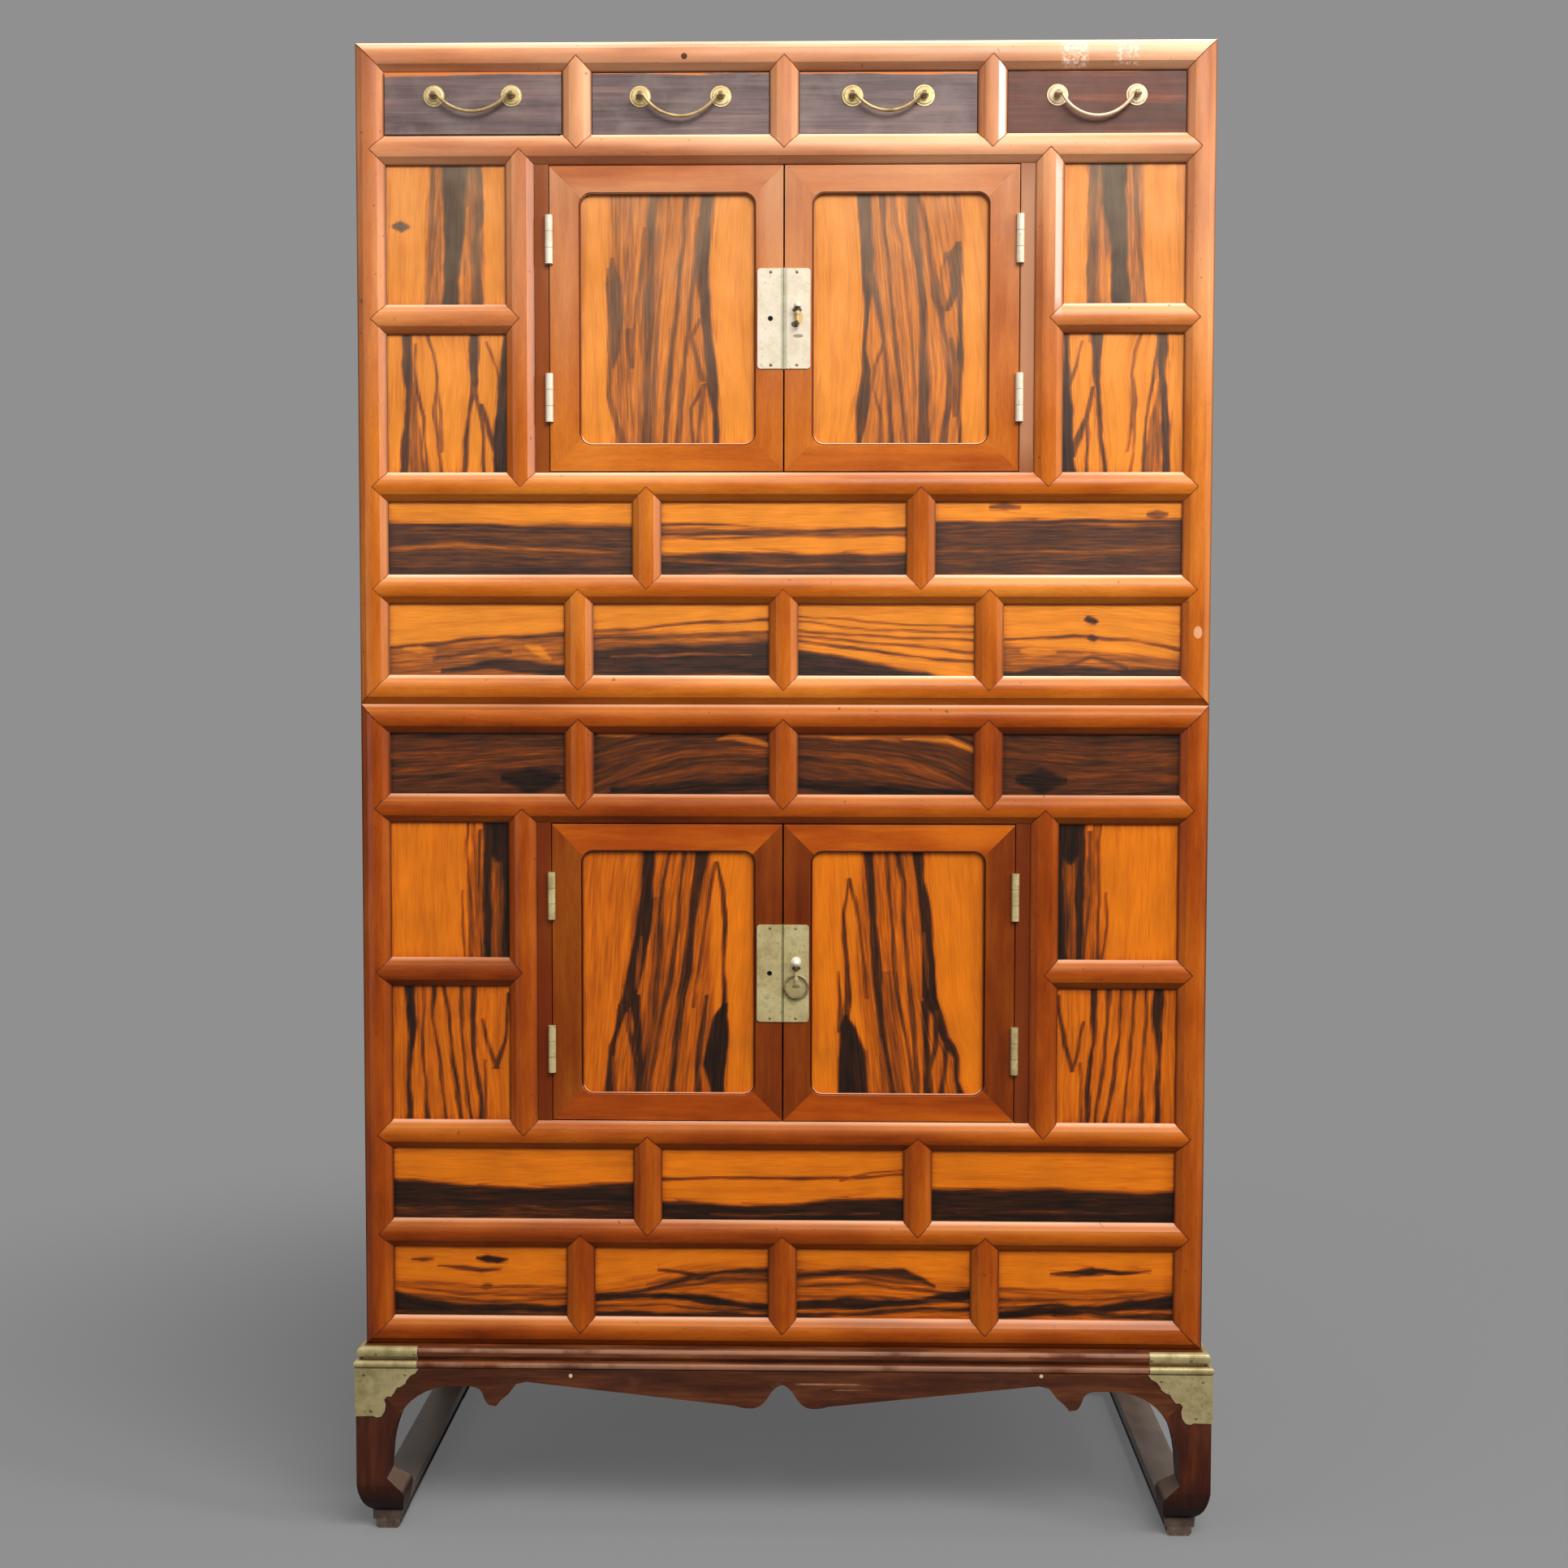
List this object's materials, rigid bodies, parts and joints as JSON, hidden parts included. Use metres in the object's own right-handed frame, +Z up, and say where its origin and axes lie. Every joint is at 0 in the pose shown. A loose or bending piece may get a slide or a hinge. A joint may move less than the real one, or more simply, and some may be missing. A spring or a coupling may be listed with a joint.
{
  "type": "two-tier stacked chest",
  "caption": "Stacked chest of drawers and cupboards: moulded post-and-rail cases with figured panels, hinged doors, drawers with bails, on a low stand with curved legs.",
  "frame": {"origin": "on the floor under the middle of the chest", "axes": "+Z up, +X to the right of someone facing the chest, the doors face -Y"},
  "size_m": [0.8396, 0.4188, 1.446],
  "materials": {
    "frame_wood": "oiled satin",
    "figured_persimmon": "oiled satin",
    "dark_persimmon": "oiled satin",
    "side_wood": "oiled satin",
    "plain_wood": "bare planed",
    "stand_wood": "dark lacquer, worn",
    "brass": "aged, softly polished"
  },
  "bodies": {
    "chest": {"stand_top_frame": "stand_wood", "front_apron": "stand_wood", "back_apron": "stand_wood", "side_aprons": "stand_wood", "stand_legs": "stand_wood", "floor_runners": "stand_wood", "runner_pads": "stand_wood", "corner_brasses": "brass", "lower_posts": "frame_wood", "lower_front_rails": "frame_wood", "lower_front_dividers": "frame_wood", "lower_front_panels": "figured_persimmon", "lower_dark_panels": "dark_persimmon", "lower_side_rails": "frame_wood", "lower_side_panels": "side_wood", "lower_back": "plain_wood", "lower_top_board": "plain_wood", "lower_floor_board": "plain_wood", "lower_hinge_leaves": "brass", "upper_posts": "frame_wood", "upper_front_rails": "frame_wood", "upper_front_dividers": "frame_wood", "upper_front_panels": "figured_persimmon", "upper_side_rails": "frame_wood", "upper_side_panels": "side_wood", "upper_back": "plain_wood", "upper_top_board": "frame_wood", "upper_floor_board": "plain_wood", "drawer_shelf": "plain_wood", "drawer_dividers": "plain_wood", "upper_hinge_leaves": "brass"},
    "lower_left_door": {"lower_left_door_frame": "frame_wood", "lower_left_door_panel": "figured_persimmon", "lower_left_door_brass": "brass"},
    "lower_right_door": {"lower_right_door_frame": "frame_wood", "lower_right_door_panel": "figured_persimmon", "lower_right_door_brass": "brass"},
    "upper_left_door": {"upper_left_door_frame": "frame_wood", "upper_left_door_panel": "figured_persimmon", "upper_left_door_brass": "brass"},
    "upper_right_door": {"upper_right_door_frame": "frame_wood", "upper_right_door_panel": "figured_persimmon", "upper_right_door_brass": "brass"},
    "pull_ring": {"pull_ring": "brass"},
    "drawer_1": {"drawer_1_front": "dark_persimmon", "drawer_1_tray": "plain_wood", "drawer_1_fittings": "brass"},
    "drawer_1_bail": {"drawer_1_bail": "brass"},
    "drawer_2": {"drawer_2_front": "dark_persimmon", "drawer_2_tray": "plain_wood", "drawer_2_fittings": "brass"},
    "drawer_2_bail": {"drawer_2_bail": "brass"},
    "drawer_3": {"drawer_3_front": "dark_persimmon", "drawer_3_tray": "plain_wood", "drawer_3_fittings": "brass"},
    "drawer_3_bail": {"drawer_3_bail": "brass"},
    "drawer_4": {"drawer_4_front": "dark_persimmon", "drawer_4_tray": "plain_wood", "drawer_4_fittings": "brass"},
    "drawer_4_bail": {"drawer_4_bail": "brass"}
  },
  "joints": [
    {"name": "lower_left_door_hinge", "type": "hinge", "parent": "chest", "child": "lower_left_door", "pos_m": [-0.225, -0.1955, 0.555], "axis": [0, 0, -1], "range_deg": [0, 160]},
    {"name": "lower_right_door_hinge", "type": "hinge", "parent": "chest", "child": "lower_right_door", "pos_m": [0.225, -0.1955, 0.555], "axis": [0, 0, 1], "range_deg": [0, 160]},
    {"name": "upper_left_door_hinge", "type": "hinge", "parent": "chest", "child": "upper_left_door", "pos_m": [-0.225, -0.1955, 1.185], "axis": [0, 0, -1], "range_deg": [0, 160]},
    {"name": "upper_right_door_hinge", "type": "hinge", "parent": "chest", "child": "upper_right_door", "pos_m": [0.225, -0.1955, 1.185], "axis": [0, 0, 1], "range_deg": [0, 160]},
    {"name": "pull_ring_swing", "type": "hinge", "parent": "lower_right_door", "child": "pull_ring", "pos_m": [0.013, -0.19695, 0.55345], "axis": [-1, 0, 0], "range_deg": [0, 90]},
    {"name": "drawer_1_slide", "type": "slide", "parent": "chest", "child": "drawer_1", "axis": [0, -1, 0], "range_m": [-0.004, 0.246]},
    {"name": "drawer_1_bail_swing", "type": "hinge", "parent": "drawer_1", "child": "drawer_1_bail", "pos_m": [-0.297, -0.2025, 1.395], "axis": [-1, 0, 0], "range_deg": [-10, 150]},
    {"name": "drawer_2_slide", "type": "slide", "parent": "chest", "child": "drawer_2", "axis": [0, -1, 0], "range_m": [0, 0.25]},
    {"name": "drawer_2_bail_swing", "type": "hinge", "parent": "drawer_2", "child": "drawer_2_bail", "pos_m": [-0.099, -0.1985, 1.395], "axis": [-1, 0, 0], "range_deg": [-10, 150]},
    {"name": "drawer_3_slide", "type": "slide", "parent": "chest", "child": "drawer_3", "axis": [0, -1, 0], "range_m": [0, 0.25]},
    {"name": "drawer_3_bail_swing", "type": "hinge", "parent": "drawer_3", "child": "drawer_3_bail", "pos_m": [0.099, -0.1985, 1.395], "axis": [-1, 0, 0], "range_deg": [-10, 150]},
    {"name": "drawer_4_slide", "type": "slide", "parent": "chest", "child": "drawer_4", "axis": [0, -1, 0], "range_m": [0, 0.25]},
    {"name": "drawer_4_bail_swing", "type": "hinge", "parent": "drawer_4", "child": "drawer_4_bail", "pos_m": [0.297, -0.1985, 1.395], "axis": [-1, 0, 0], "range_deg": [-10, 150]}
  ]
}
